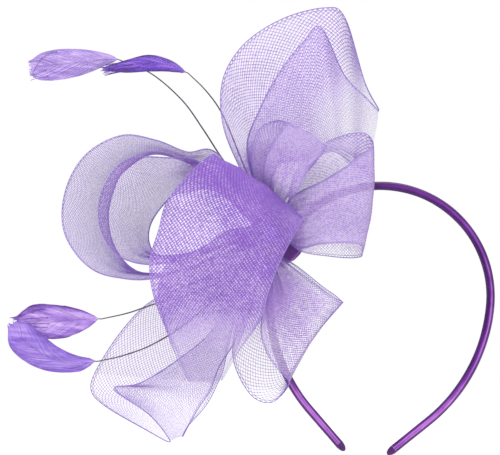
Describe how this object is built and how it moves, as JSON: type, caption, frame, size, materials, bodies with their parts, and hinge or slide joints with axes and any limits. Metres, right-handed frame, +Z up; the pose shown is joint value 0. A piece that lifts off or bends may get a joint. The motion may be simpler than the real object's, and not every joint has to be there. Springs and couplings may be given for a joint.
{
  "type": "fascinator headpiece",
  "caption": "Fascinator on a slim satin-covered headband, with gathered net ribbon loops and stripped feathers sewn to a small base over one side.",
  "frame": {"origin": "middle of the flat inner face of the headband's crown, where it rests on the head", "axes": "+Z up, away from the head; +X towards the undecorated side; the band lies in the plane Y = 0, with the front loop towards -Y"},
  "size_m": [0.2658, 0.0934, 0.247],
  "materials": {
    "band_satin": "satin",
    "band_tip": "satin",
    "spring_strip": "brushed",
    "base_felt": "felt",
    "thread": "matte thread",
    "gathered_net": "packed net",
    "net": "open diagonal net",
    "quill": "horn",
    "feather_light": "soft barbs",
    "feather_dark": "soft barbs",
    "feather_mid": "soft barbs"
  },
  "bodies": {
    "crown": {"crown_cover": "band_satin", "crown_strip": "spring_strip", "base_disc": "base_felt", "backing_patch": "base_felt", "base_stitch_1": "thread", "base_stitch_2": "thread", "base_stitch_3": "thread", "base_stitch_4": "thread", "gather_post": "gathered_net", "top_loop": "net", "right_loop": "net", "inner_loop": "net", "lower_right_loop": "net", "lower_left_loop": "net", "front_loop": "net", "outer_left_loop": "net", "inner_left_loop": "net", "upper_light_quill": "quill", "upper_light_vane": "feather_light", "upper_dark_quill": "quill", "upper_dark_vane": "feather_dark", "lower_straight_quill": "quill", "lower_straight_vane": "feather_mid", "lower_curved_quill": "quill", "lower_curved_vane": "feather_mid"},
    "left_leg": {"left_leg_cover": "band_satin", "left_leg_strip": "spring_strip", "left_tip_cap": "band_tip"},
    "right_leg": {"right_leg_cover": "band_satin", "right_leg_strip": "spring_strip", "right_tip_cap": "band_tip"}
  },
  "joints": [
    {"name": "left_leg_flex", "type": "hinge", "parent": "crown", "child": "left_leg", "pos_m": [-0.0629, 0, -0.0585], "axis": [0, 1, 0], "range_deg": [0, 24], "stiffness_Nm_per_rad": 0.15},
    {"name": "right_leg_flex", "type": "hinge", "parent": "crown", "child": "right_leg", "pos_m": [0.0629, 0, -0.0585], "axis": [0, -1, 0], "range_deg": [0, 24], "stiffness_Nm_per_rad": 0.15}
  ]
}
